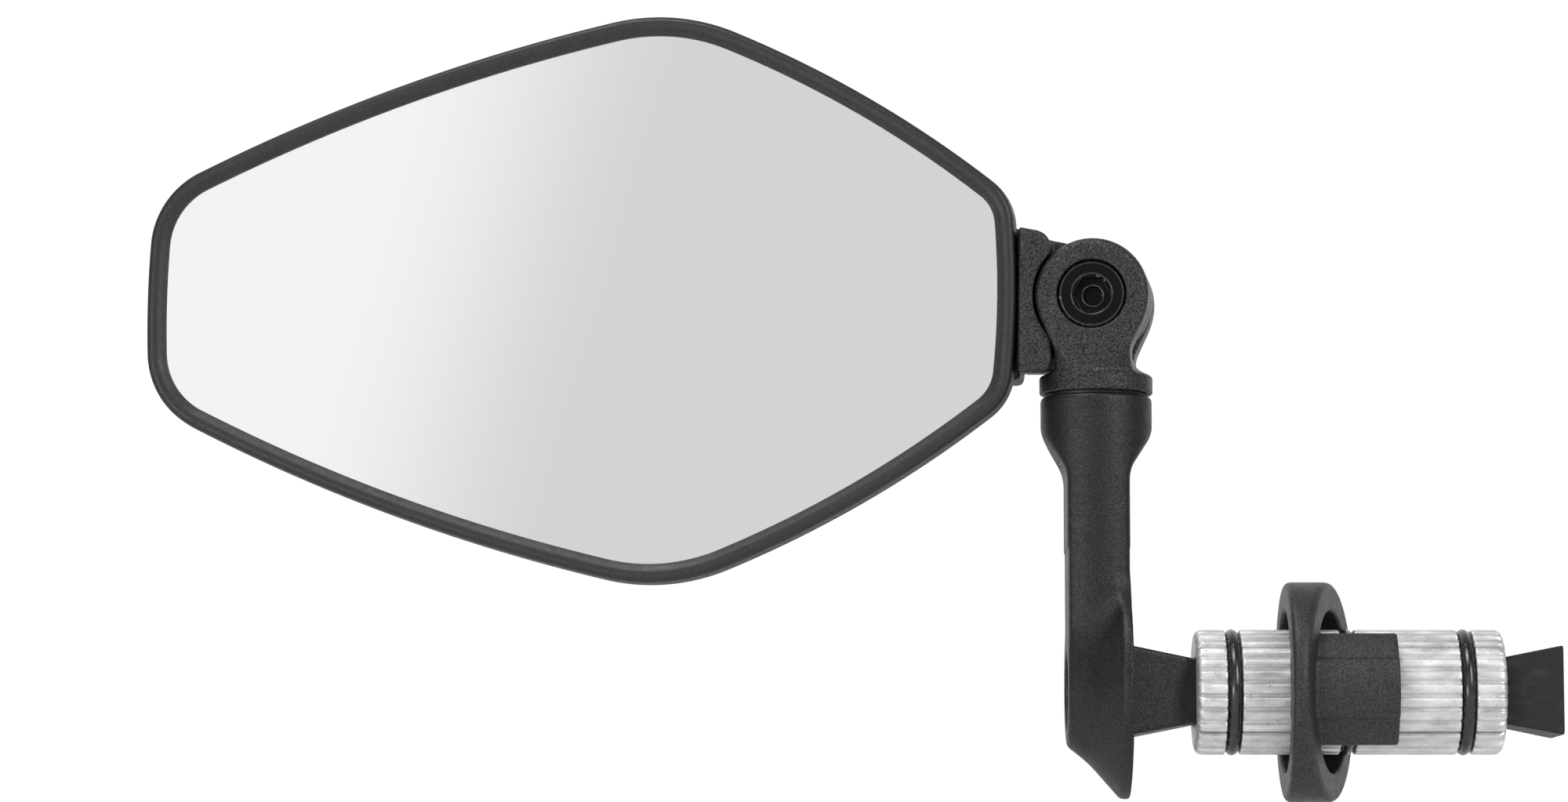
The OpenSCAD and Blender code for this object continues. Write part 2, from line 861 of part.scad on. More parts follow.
mirror_glass();
glass_pad();
rim();
back_shell();
hinge_block();
block_screws();
fork();
hinge_screw();
hinge_nut();
friction_discs();
swivel_washer();
swivel_bush();
swivel_grub_screw();
arm();
expander_bolt();
bolt_washer();
segment_top();
segment_back();
segment_bottom();
segment_front();
o_ring_near();
o_ring_middle();
o_ring_far();
far_wedge();
grip_ring();
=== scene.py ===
"""Visual model of the bar-end mirror. Lengths are in millimetres until a mesh is made."""

import itertools
import json
import math

import bpy
import numpy as np
from mathutils import Matrix, Vector


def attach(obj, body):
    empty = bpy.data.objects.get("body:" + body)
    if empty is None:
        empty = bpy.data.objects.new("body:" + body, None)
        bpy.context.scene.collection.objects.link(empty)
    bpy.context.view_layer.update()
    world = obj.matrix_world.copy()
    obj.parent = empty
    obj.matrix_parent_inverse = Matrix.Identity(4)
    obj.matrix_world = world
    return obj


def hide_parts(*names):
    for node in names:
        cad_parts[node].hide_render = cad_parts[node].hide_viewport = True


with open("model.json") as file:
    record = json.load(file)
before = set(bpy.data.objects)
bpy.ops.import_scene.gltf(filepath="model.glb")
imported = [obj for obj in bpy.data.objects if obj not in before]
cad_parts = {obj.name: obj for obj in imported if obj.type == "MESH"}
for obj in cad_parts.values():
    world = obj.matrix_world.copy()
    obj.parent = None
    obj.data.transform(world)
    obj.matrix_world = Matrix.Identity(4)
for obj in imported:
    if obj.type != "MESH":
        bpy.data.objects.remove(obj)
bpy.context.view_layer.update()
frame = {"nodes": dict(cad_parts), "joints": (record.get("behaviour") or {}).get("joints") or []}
MM = 0.001

# ---------------------------------------------------------------- places, from the frame

JOINTS = {j["name"]: j for j in frame["joints"]}
HINGE = Vector(JOINTS["mirror_tilt"]["pos_m"]) / MM
TILT_AXIS = JOINTS["mirror_tilt"]["axis"]
HEAD_TILT = math.radians(0.8)             # turn of the head about the hinge screw at rest
ROW = Matrix.Identity(4)
FORK = Matrix.Translation(HINGE) @ Matrix.Rotation(math.atan2(-TILT_AXIS[0], TILT_AXIS[1]), 4, "Z")
HEAD = FORK @ Matrix.Rotation(HEAD_TILT, 4, "Y")


def points_of(node, place=ROW):
    """Vertices of a CAD node in the given frame."""
    inverse = np.array(place.inverted())
    co = np.array([v.co for v in frame["nodes"][node].data.vertices]) / MM
    return co @ inverse[:3, :3].T + inverse[:3, 3]


def box_of(node, place=ROW):
    """Lowest and highest corner of a CAD node in the given frame."""
    co = points_of(node, place)
    return co.min(0), co.max(0)


ARM_LOW, ARM_HIGH = box_of("arm")
FORK_LOW, FORK_HIGH = box_of("fork", FORK)
BLOCK_LOW, BLOCK_HIGH = box_of("hinge_block", HEAD)
RIM_LOW, RIM_HIGH = box_of("rim", HEAD)
GLASS_LOW, GLASS_HIGH = box_of("mirror_glass", HEAD)
SHELL_LOW, SHELL_HIGH = box_of("back_shell", HEAD)
DISC_LOW, DISC_HIGH = box_of("friction_discs", FORK)
SCREW_LOW, SCREW_HIGH = box_of("hinge_screw", FORK)
NUT_LOW, NUT_HIGH = box_of("hinge_nut", FORK)
BLOCK_SCREW_LOW, BLOCK_SCREW_HIGH = box_of("block_screws", HEAD)
WASHER_LOW, WASHER_HIGH = box_of("swivel_washer")
BUSH_LOW, BUSH_HIGH = box_of("swivel_bush")
GRUB_LOW, GRUB_HIGH = box_of("swivel_grub_screw")
SEGMENT_LOW, SEGMENT_HIGH = box_of("segment_top")
BOLT_LOW, BOLT_HIGH = box_of("expander_bolt")
BOLT_WASHER_LOW, BOLT_WASHER_HIGH = box_of("bolt_washer")
WEDGE_LOW, WEDGE_HIGH = box_of("far_wedge")
RING_LOW, RING_HIGH = box_of("grip_ring")

POST_X = HINGE.x
PLUG_R = SEGMENT_HIGH[2]
EAR_R = FORK_HIGH[0]
WEDGE_SLOPE = math.tan(math.radians(11))

# ---------------------------------------------------------------- signed distance fields


def most(a, b, k=0.0):
    """The larger of two distances, with the edge between them rounded over about k."""
    if k == 0:
        return np.maximum(a, b)
    near = np.maximum(k - np.abs(a - b), 0) / k
    return np.maximum(a, b) + near * near * k / 4


def least(a, b, k=0.0):
    """The smaller of two distances, with a fillet of about k."""
    return -most(-a, -b, k)


def cut(body, tool, k=0.0):
    return most(body, -tool, k)


def between(value, low, high):
    return np.maximum(low - value, value - high)


def hexagon(a, b, apothem):
    """Distance to a hexagonal prism in the plane of a and b, with corners on the a axis."""
    slanted = np.abs(a) * math.cos(math.pi / 6) + np.abs(b) / 2
    return np.maximum(np.abs(b), slanted) - apothem


def ease(value, start, end):
    t = np.clip((value - start) / (end - start), 0, 1)
    return t * t * (3 - 2 * t)


def gradient(field, p, h):
    """Value and gradient of a field at points p."""
    x, y, z = p.T
    value = field(x, y, z)
    slope = [(field(*(p + h * e).T) - field(*(p - h * e).T)) / (2 * h) for e in np.eye(3)]
    return value, np.stack(slope, axis=1)


def field_mesh(field, low, high, step):
    """Vertices and quads of a field's zero surface: surface nets, then moved onto the surface."""
    low = np.array(low, float) - 2 * step
    counts = np.ceil((np.array(high, float) + 2 * step - low) / step).astype(int) + 1
    xs, ys, zs = [low[k] + step * np.arange(counts[k]) for k in range(3)]
    y, z = np.meshgrid(ys, zs, indexing="ij")
    values = np.stack([field(np.full_like(y, x), y, z) for x in xs])
    values = np.pad(values[1:-1, 1:-1, 1:-1], 1, constant_values=step)
    inside = values < 0
    total = np.zeros(counts - 1, np.int8)
    for a, b, c in itertools.product((0, 1), repeat=3):
        total += inside[a:counts[0] - 1 + a, b:counts[1] - 1 + b, c:counts[2] - 1 + c]
    active = (total > 0) & (total < 8)
    cells = np.argwhere(active)
    index = np.full(active.shape, -1)
    index[tuple(cells.T)] = np.arange(len(cells))

    sums = np.zeros((len(cells), 3))
    hits = np.zeros(len(cells))
    quads = []
    for axis in range(3):
        second, third = (axis + 1) % 3, (axis + 2) % 3
        for a, b in itertools.product((0, 1), repeat=2):
            start = cells.copy()
            start[:, second] += a
            start[:, third] += b
            end = start.copy()
            end[:, axis] += 1
            v0, v1 = values[tuple(start.T)], values[tuple(end.T)]
            cross = (v0 < 0) != (v1 < 0)
            point = start[cross].astype(float)
            point[:, axis] += v0[cross] / (v0[cross] - v1[cross])
            sums[cross] += point
            hits += cross
        here = [slice(None)] * 3
        there = [slice(None)] * 3
        here[axis], there[axis] = slice(0, -1), slice(1, None)
        edges = np.argwhere(inside[tuple(here)] != inside[tuple(there)])
        corners = []
        for back_second, back_third in ((1, 1), (0, 1), (0, 0), (1, 0)):
            cell = edges.copy()
            cell[:, second] -= back_second
            cell[:, third] -= back_third
            corners.append(index[tuple(cell.T)])
        quad = np.stack(corners, axis=1)
        outward = inside[tuple(edges.T)]
        quad[~outward] = quad[~outward][:, ::-1]
        quads.append(quad)

    verts = low + step * sums / hits[:, None]
    for _ in range(4):
        value, slope = gradient(field, verts, step * 0.05)
        length = np.maximum((slope ** 2).sum(1), 0.2)
        move = np.clip(value / length, -step / 2, step / 2)
        verts -= move[:, None] * slope
    return verts, np.concatenate(quads)


# ---------------------------------------------------------------- making pieces


def add_piece(name, verts, faces, place, body, slot, nodes, smooth=True):
    """A mesh object in the row frame that rides a CAD body and stands for CAD nodes."""
    matrix = np.array(place)
    verts = (verts @ matrix[:3, :3].T + matrix[:3, 3]) * MM
    mesh = bpy.data.meshes.new(name)
    mesh.from_pydata(verts.tolist(), [], faces if isinstance(faces, list) else faces.tolist())
    mesh.update()
    mesh.polygons.foreach_set("use_smooth", [smooth] * len(mesh.polygons))
    piece = bpy.data.objects.new(name, mesh)
    bpy.context.scene.collection.objects.link(piece)
    mesh.materials.append(MATERIALS[slot])
    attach(piece, body)
    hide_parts(*nodes)
    return piece


def add_field(name, field, low, high, step, place, body, slot, nodes):
    verts, quads = field_mesh(field, low, high, step)
    return add_piece(name, verts, quads, place, body, slot, nodes)


# ---------------------------------------------------------------- materials


class Graph:
    """Builds one material's nodes. Texture points are in millimetres on the resting object."""

    def __init__(self, name):
        self.material = bpy.data.materials.new(name)
        self.material.use_nodes = True
        self.tree = self.material.node_tree
        self.shader = self.tree.nodes["Principled BSDF"]
        coordinates = self.tree.nodes.new("ShaderNodeTexCoord")
        self.point = self.mapped(coordinates.outputs["Object"], (1 / MM,) * 3)

    def node(self, kind, inputs=(), **settings):
        made = self.tree.nodes.new(kind)
        for key, value in settings.items():
            setattr(made, key, value)
        for key, value in dict(inputs).items():
            if isinstance(value, bpy.types.NodeSocket):
                self.tree.links.new(value, made.inputs[key])
            else:
                made.inputs[key].default_value = value
        return made

    def mapped(self, vector, scale):
        return self.node("ShaderNodeMapping", {"Vector": vector, "Scale": scale}).outputs["Vector"]

    def noise(self, size, detail=2.0, stretch=(1, 1, 1), roughness=0.5):
        """Noise with features of about that size in mm, stretched along the axes."""
        vector = self.mapped(self.point, tuple(1 / (size * s) for s in stretch))
        made = self.node("ShaderNodeTexNoise", {
            "Vector": vector, "Scale": 1.0, "Detail": detail, "Roughness": roughness})
        return made.outputs["Fac"]

    def cells(self, size):
        vector = self.mapped(self.point, (1 / size,) * 3)
        return self.node("ShaderNodeTexVoronoi", {"Vector": vector, "Scale": 1.0}).outputs["Distance"]

    def spread(self, value, low, high, from_low=0.3, from_high=0.7):
        """Maps from_low...from_high of a value onto low...high."""
        return self.node("ShaderNodeMapRange", {
            "Value": value, "From Min": from_low, "From Max": from_high,
            "To Min": low, "To Max": high}).outputs["Result"]

    def maths(self, operation, a, b):
        made = self.tree.nodes.new("ShaderNodeMath")
        made.operation = operation
        for socket, value in zip(made.inputs, (a, b)):
            if isinstance(value, bpy.types.NodeSocket):
                self.tree.links.new(value, socket)
            else:
                socket.default_value = value
        return made.outputs["Value"]

    def shade(self, colour, amount):
        """The colour times a varying amount."""
        made = self.node("ShaderNodeVectorMath", {0: (*colour, )[:3], 3: amount}, operation="SCALE")
        return made.outputs["Vector"]

    def blend(self, amount, a, b):
        made = self.node("ShaderNodeMix", {0: amount, 6: a, 7: b}, data_type="RGBA")
        return made.outputs[2]

    def bump(self, height, depth, strength=1.0, under=None):
        """Bumps of that depth in mm, on top of an earlier bump."""
        inputs = {"Height": height, "Distance": depth * MM, "Strength": strength}
        if under is not None:
            inputs["Normal"] = under
        return self.node("ShaderNodeBump", inputs).outputs["Normal"]

    def finish(self, **inputs):
        for key, value in inputs.items():
            socket = self.shader.inputs[key.replace("_", " ")]
            if isinstance(value, bpy.types.NodeSocket):
                self.tree.links.new(value, socket)
            else:
                socket.default_value = value
        return self.material


SPECULAR = "Specular_IOR_Level"


def textured_black(name, grey, grain, depth, roughness, specular=0.3, speckle=0.0):
    """Dark moulded plastic or coated casting with a fine, even grain."""
    g = Graph(name)
    fine = g.noise(grain, 2)
    coarse = g.noise(grain * 14, 3)
    amount = g.maths("ADD", g.spread(fine, 1 - speckle, 1 + speckle), g.spread(coarse, -0.08, 0.08))
    normal = g.bump(fine, depth, 0.8, g.bump(coarse, depth * 1.2, 0.4))
    return g.finish(**{
        "Base_Color": g.shade((grey, grey, grey * 1.01), amount),
        "Roughness": g.spread(g.noise(grain * 5, 3), roughness - 0.05, roughness + 0.06),
        SPECULAR: g.spread(fine, specular * (1 - speckle), specular * (1 + speckle), 0.35, 0.65),
        "Normal": normal})


def mirror_glass_material():
    """Silvered glass: dust and a very slight tint on a clean reflection."""
    g = Graph("mirror")
    dust = g.noise(26, 4)
    return g.finish(
        Base_Color=g.shade((0.965, 0.968, 0.97), g.spread(dust, 0.995, 1.0)),
        Metallic=1.0,
        Roughness=g.spread(dust, 0.012, 0.02))


def pad_material():
    g = Graph("pad_foam")
    pores = g.cells(0.5)
    return g.finish(Base_Color=g.shade((0.03, 0.03, 0.03), g.spread(pores, 0.6, 1.2, 0, 0.7)),
                    Roughness=0.9, Normal=g.bump(pores, 0.15))


def zinc_screw_material():
    g = Graph("zinc_screw")
    spots = g.noise(1.3, 5, roughness=0.6)
    scratch = g.noise(0.5, 2, stretch=(8, 0.3, 0.3))
    tint = g.blend(g.spread(spots, 0, 1), (0.52, 0.53, 0.55, 1), (0.63, 0.62, 0.58, 1))
    return g.finish(Base_Color=tint, Metallic=1.0,
                    Roughness=g.spread(scratch, 0.24, 0.4),
                    Normal=g.bump(spots, 0.01, 0.5, g.bump(scratch, 0.004, 0.5)))


def black_screw_material():
    """Black oxide: glossy flats, and a painted highlight on the edges from a pointiness mask."""
    g = Graph("black_screw")
    spots = g.noise(0.8, 4, roughness=0.6)
    edge_pointiness = g.node("ShaderNodeNewGeometry").outputs["Pointiness"]
    # Sharp convex edges are painted light grey in patches, the second colour below: a painted highlight
    # round the screw heads' edges.
    edge_highlight = g.maths("MULTIPLY", g.spread(edge_pointiness, 0, 1, 0.51, 0.55), g.spread(spots, 0.7, 1, 0.35, 0.6))
    colour = g.blend(edge_highlight, (0.003, 0.003, 0.003, 1), (0.2, 0.2, 0.205, 1))
    return g.finish(**{
        "Base_Color": colour, "Metallic": 0.2, SPECULAR: 0.16,
        "Roughness": g.spread(spots, 0.2, 0.34),
        "Normal": g.bump(spots, 0.006, 0.5)})


def acetal_material():
    g = Graph("friction_plastic")
    cloud = g.noise(2.5, 3)
    return g.finish(Base_Color=g.shade((0.02, 0.02, 0.02), g.spread(cloud, 0.8, 1.2)),
                    Roughness=g.spread(cloud, 0.38, 0.5), Normal=g.bump(g.noise(0.3), 0.01))


def brass_material():
    g = Graph("brass_bush")
    turned = g.noise(0.12, 2, stretch=(40, 40, 1))
    stain = g.noise(2.2, 4)
    return g.finish(Base_Color=g.blend(g.spread(stain, 0, 1), (0.62, 0.43, 0.17, 1), (0.75, 0.57, 0.3, 1)),
                    Metallic=1.0, Roughness=g.spread(turned, 0.22, 0.38), Normal=g.bump(turned, 0.01))


def cast_zinc_material():
    """Raw die casting: clouded bright skin, flow marks along the ribs, dark pits and smudges."""
    g = Graph("cast_zinc")
    cloud = g.noise(2.4, 6, stretch=(2.2, 1, 1), roughness=0.65)
    flow = g.noise(0.7, 4, stretch=(5, 1, 1), roughness=0.6)
    pits = g.noise(0.5, 3, roughness=0.7)
    grime = g.spread(pits, 0, 1, 0.62, 0.74)
    tone = g.maths("MULTIPLY", g.spread(cloud, 0.74, 1.1), g.spread(flow, 0.82, 1.12))
    bright = g.shade((0.74, 0.74, 0.74), tone)
    colour = g.blend(grime, bright, (0.12, 0.12, 0.12, 1))
    normal = g.bump(flow, 0.05, 0.7, g.bump(cloud, 0.12, 0.6, g.bump(pits, 0.04, 0.6)))
    return g.finish(Base_Color=colour, Metallic=g.spread(grime, 0.7, 0.2, 0, 1),
                    Roughness=g.spread(cloud, 0.36, 0.56), Normal=normal)


def rubber_material():
    g = Graph("ring_rubber")
    cloud = g.noise(1.2, 3)
    return g.finish(**{
        "Base_Color": g.shade((0.012, 0.012, 0.012), g.spread(cloud, 0.8, 1.3)),
        "Roughness": g.spread(cloud, 0.2, 0.34), SPECULAR: 0.6,
        "Normal": g.bump(g.noise(0.25), 0.006, 0.5)})


def wedge_material():
    """Black coating, scuffed through to a greyer shade where it has slid."""
    g = Graph("wedge_coated")
    fine = g.noise(0.22, 3)
    scuff = g.noise(1.6, 6, stretch=(2.5, 1, 1), roughness=0.7)
    colour = g.blend(g.spread(scuff, 0, 0.6, 0.5, 0.78), (0.012, 0.012, 0.0122, 1), (0.05, 0.05, 0.052, 1))
    return g.finish(**{
        "Base_Color": colour, SPECULAR: 0.3, "Roughness": g.spread(scuff, 0.44, 0.6),
        "Normal": g.bump(fine, 0.03, 0.8, g.bump(scuff, 0.04, 0.4))})


MATERIALS = {
    "mirror": mirror_glass_material(),
    "pad_foam": pad_material(),
    "rim_plastic": textured_black("rim_plastic", 0.02, 0.2, 0.018, 0.46, 0.38, speckle=0.2),
    "shell_plastic": textured_black("shell_plastic", 0.012, 0.26, 0.07, 0.48, 0.35, speckle=0.3),
    "coated_casting": textured_black("coated_casting", 0.008, 0.27, 0.2, 0.38, 0.5, speckle=0.6),
    "zinc_screw": zinc_screw_material(),
    "black_screw": black_screw_material(),
    "friction_plastic": acetal_material(),
    "brass_bush": brass_material(),
    "arm_plastic": textured_black("arm_plastic", 0.009, 0.25, 0.09, 0.45, 0.38, speckle=0.35),
    "cast_zinc": cast_zinc_material(),
    "ring_rubber": rubber_material(),
    "wedge_coated": wedge_material(),
    "grip_ring_plastic": textured_black("grip_ring_plastic", 0.02, 0.27, 0.12, 0.46, 0.42, speckle=0.35),
}

# ---------------------------------------------------------------- mirror head

OUTLINE_PARTS = 4                         # smooth pieces for each straight edge of the CAD outline


def head_outline():
    """Points and outward normals of the head's outline, its arcs rebuilt between the CAD's vertices."""
    co = np.unique(np.round(points_of("rim", HEAD), 3), axis=0)
    seam = co[np.abs(co[:, 1] - RIM_HIGH[1]) < 0.02][:, [0, 2]]
    ways = np.radians(np.arange(0, 360, 0.5))
    furthest = (seam @ np.stack([np.cos(ways), np.sin(ways)])).argmax(0)
    outer = furthest[np.sort(np.unique(furthest, return_index=True)[1])]
    inner = np.setdiff1d(np.arange(len(seam)), outer)
    gap = np.hypot(*(seam[outer][:, None] - seam[inner][None]).transpose(2, 0, 1))
    foot = inner[gap.argmin(1)]
    normal = seam[outer] - seam[foot]
    turn = np.unwrap(np.arctan2(normal[:, 1], normal[:, 0]))
    corner = seam[outer]
    points, normals = [], []
    for i in range(len(corner)):
        j = (i + 1) % len(corner)
        sweep = (turn[j] - turn[i]) % (2 * math.pi)
        radius = np.hypot(*(corner[j] - corner[i])) / (2 * math.sin(sweep / 2))
        centre = corner[i] - radius * np.array([math.cos(turn[i]), math.sin(turn[i])])
        for k in range(OUTLINE_PARTS):
            a = turn[i] + sweep * k / OUTLINE_PARTS
            ray = np.array([math.cos(a), math.sin(a)])
            points.append(centre + radius * ray)
            normals.append(ray)
    return np.array(points), np.array(normals)


SHELL_DEPTH = 8.0                         # from the seam with the rim to where the back starts to crown
OUTLINE, OUTLINE_NORMAL = head_outline()
HEAD_MIDDLE = (OUTLINE.min(0) + OUTLINE.max(0)) / 2


def sweep_outline(profile, closed):
    """Surface through levels of (inset, depth, shrink). If it isn't closed, its ends are capped."""
    rings = []
    for inset, depth, shrink in profile:
        flat = HEAD_MIDDLE + shrink * (OUTLINE - inset * OUTLINE_NORMAL - HEAD_MIDDLE)
        rings.append(np.stack([flat[:, 0], np.full(len(flat), depth), flat[:, 1]], axis=1))
    n, m = len(OUTLINE), len(rings)
    i = np.arange(n)
    k = (i + 1) % n
    faces = []
    for j in range(m if closed else m - 1):
        a, b = j * n, (j + 1) % m * n
        faces += np.stack([a + i, b + i, b + k, a + k], axis=1).tolist()
    verts = np.concatenate(rings)
    if not closed:
        verts = np.concatenate([verts, [[HEAD_MIDDLE[0], profile[0][1], HEAD_MIDDLE[1]]],
                                [[HEAD_MIDDLE[0], profile[-1][1], HEAD_MIDDLE[1]]]])
        first, last = n * m, n * m + 1
        faces += [[first, int(p), int(q)] for p, q in zip(i, k)]
        faces += [[last, (m - 1) * n + int(q), (m - 1) * n + int(p)] for p, q in zip(i, k)]
    return verts, faces


def arc(centre, radius, start, end, count=6):
    """(inset, depth, 1) levels on an arc, angles in degrees from the inset axis towards depth."""
    turns = np.radians(np.linspace(start, end, count))
    return [(centre[0] + radius * math.cos(t), centre[1] + radius * math.sin(t), 1) for t in turns]


def harden(piece, degrees=35):
    """Keeps edges sharper than that angle crisp under smooth shading."""
    piece.data.set_sharp_from_angle(angle=math.radians(degrees))


def make_glass():
    edge = 0.25
    inset = GLASS_LOW[0] - RIM_LOW[0]
    front, back = GLASS_LOW[1], GLASS_HIGH[1]
    profile = [(inset + edge, front, 1), (inset, front + edge, 1), (inset, back - edge, 1),
               (inset + edge, back, 1)]
    verts, faces = sweep_outline(profile, closed=False)
    harden(add_piece("glass", verts, faces, HEAD, "head", "mirror", ["mirror_glass"]), 20)


def make_rim():
    crown, seam = RIM_LOW[1], RIM_HIGH[1]
    glass = GLASS_LOW[1]
    height = seam - crown
    lip = 3.0                             # width of the rim seen from the front
    pocket = GLASS_LOW[0] - RIM_LOW[0] - 0.15
    profile = [(pocket, seam, 1), (0.25, seam, 1)]
    profile += arc((0.2, seam - 0.25), 0.2, 90, 180, 4)
    profile += [(0.02, seam - 0.9, 1), (0.1, seam - height * 0.55, 1)]
    profile += arc((1.15, crown + 1.0), 1.0, 180, 275, 12)
    profile += [(1.65, crown + 0.08, 1), (2.02, crown + 0.22, 1), (2.25, crown + 0.42, 1)]
    profile += arc((lip - 0.2, glass - 0.32), 0.2, 280, 360, 4)
    profile += [(lip, glass, 1), (pocket, glass, 1)]
    verts, faces = sweep_outline(profile, closed=True)
    harden(add_piece("rim_moulding", verts, faces, HEAD, "head", "rim_plastic", ["rim"]), 50)


def make_shell():
    seam, back = SHELL_LOW[1], SHELL_LOW[1] + SHELL_DEPTH
    crown = SHELL_HIGH[1] - back
    ledge, floor = 3.8, back - 2.2
    profile = [(ledge, floor, s) for s in (0.2, 0.5, 0.8, 0.97)]
    profile += [(ledge, floor - 0.4, 1), (ledge, seam + 0.3, 1), (ledge - 0.3, seam, 1), (0.55, seam, 1)]
    profile += arc((0.55, seam + 0.3), 0.3, 270, 180, 4)
    profile += [(0.6, back - 4.6, 1), (0.78, back - 3.9, 1)]
    profile += arc((4.0, back - 3.15), 3.15, 188, 98, 14)
    profile += [(4.6, back - 0.02, 1), (5.6, back + crown * 0.06, 1)]
    for s in np.linspace(1, 0.04, 22):
        profile.append((7, back + crown * (0.12 + 0.88 * (1 - s * s)), s))
    verts, faces = sweep_outline(profile, closed=False)
    piece = add_piece("shell_moulding", verts, faces, HEAD, "head", "shell_plastic", ["back_shell"])
    harden(piece, 50)


def screw_places():
    """Where the two block screws are, along the head's X axis."""
    span = BLOCK_SCREW_HIGH[0] - BLOCK_SCREW_LOW[0]
    radius = (BLOCK_SCREW_HIGH[2] - BLOCK_SCREW_LOW[2]) / 2
    return [BLOCK_SCREW_LOW[0] + radius, BLOCK_SCREW_LOW[0] + span - radius], radius


SEAT_X = BLOCK_LOW[0] + 19                # plane where the hinge block's lobes meet the shell


def make_seat():
    """Raised seat on the shell for the hinge block, with the two screws' counterbores."""
    places, head_r = screw_places()
    top = SHELL_LOW[1] + SHELL_DEPTH
    length = 21.5
    slot_half = 6.6
    sink = 0.9                            # depth of the counterbores
    bore_r = 2.05

    def field(x, y, z):
        along = between(x, SEAT_X - length, SEAT_X)
        flank = between(z, BLOCK_LOW[2] - 0.5, BLOCK_HIGH[2] + 0.4)
        tongue = most(along, np.abs(z) - 8.2, 5)
        end = most(between(x, SEAT_X - 4, SEAT_X), flank, 1.2)
        plan = least(tongue, end, 4)
        depth = between(y, SHELL_LOW[1], top + 0.5)
        body = most(plan, depth, 0.9)
        under = most(most(x - SEAT_X + 3, np.abs(z) - 6.55), between(y, -9, top - 2.2))
        body = cut(body, under, 0.2)
        for place in places:
            r = np.hypot(x - place, z)
            body = cut(body, most(r - head_r - 0.15, top - sink - y), 0.3)
            body = cut(body, r - bore_r)
        mouth = most(np.abs(z) - slot_half, between(y, -0.25, 2.85))
        return cut(body, most(x - SEAT_X - 1, mouth), 0.2)

    low = [SEAT_X - 22, SHELL_LOW[1], BLOCK_LOW[2] - 1]
    high = [SEAT_X, top + 1, BLOCK_HIGH[2] + 1]
    add_field("shell_seat", field, low, high, 0.25, HEAD, "head", "shell_plastic", ["back_shell"])


# ---------------------------------------------------------------- hinge

M6_R = 3.0
M6_HEAD_R, M6_HEAD_H = 5.0, 4.0             # low-head socket screw
HINGE_BORE_R = M6_R + 0.06
EAR_GAP = 0.33                            # between the fork's ears and the lobes round them


def make_block():
    """Hinge block: lobes hollowed round the fork's ears, a middle ear and a tongue into the shell."""
    front, back = BLOCK_LOW[1], BLOCK_HIGH[1]
    bottom, top = BLOCK_LOW[2], BLOCK_HIGH[2]
    lobe_x = EAR_R - 2.2                  # how near the lobes come to the hinge axis
    lobe_reach = 0.4                      # further round the neck, low down
    draft = 0.1                           # slope of the underside
    tongue_half = 6.5
    tap_r = 2.02
    ear_half = DISC_HIGH[1] - 0.45
    lean = 0.19                           # slope of the block's top towards the ear
    places, _ = screw_places()

    def field(x, y, z):
        top_line = (z - top + lean * (x - SEAT_X - 0.6)) / math.hypot(1, lean)
        lobe = most(x + lobe_x - lobe_reach * ease(-z, 4, 8), top_line, 2.4)
        under = bottom + draft * (y - front) - z
        lobe = most(lobe, under, 0.3)
        corner = (x + lobe_x - lobe_reach + under) / math.sqrt(2) + 0.35
        lobe = most(lobe, corner, 1.6)
        lobe = most(lobe, SEAT_X - x, 0.5)
        r = np.hypot(x, z)
        outside = most(lobe, between(y, front, back), 0.8)
        outside = cut(outside, r - EAR_R - EAR_GAP, 0.25)
        web_top = (z - top + 0.35 + (lean + 0.01) * (x - SEAT_X)) / math.hypot(1, lean)
        web = most(most(web_top, x + 1.5), most(SEAT_X - x, under + 0.4))
        web = most(web, most(corner, x + lobe_x + 1.8 * ease(-z, 1, 8) - 6 * ease(z, -4, 1)))
        ear = least(web, r - EAR_R, 0.8)
        middle = most(ear, np.abs(y) - ear_half, 0.35)
        body = least(outside, middle, 0.3)
        plate = most(np.abs(z) - tongue_half, between(y, -0.2, 2.8))
        tongue = most(between(x, BLOCK_LOW[0], SEAT_X + 1), plate, 0.4)
        body = least(body, tongue, 0.2)
        for place in places:
            body = cut(body, most(np.hypot(x - place, z) - tap_r, x - SEAT_X))
        return cut(body, r - HINGE_BORE_R, 0.4)

    add_field("hinge_casting", field, BLOCK_LOW, BLOCK_HIGH, 0.2, HEAD, "head", "coated_casting",
              ["hinge_block"])


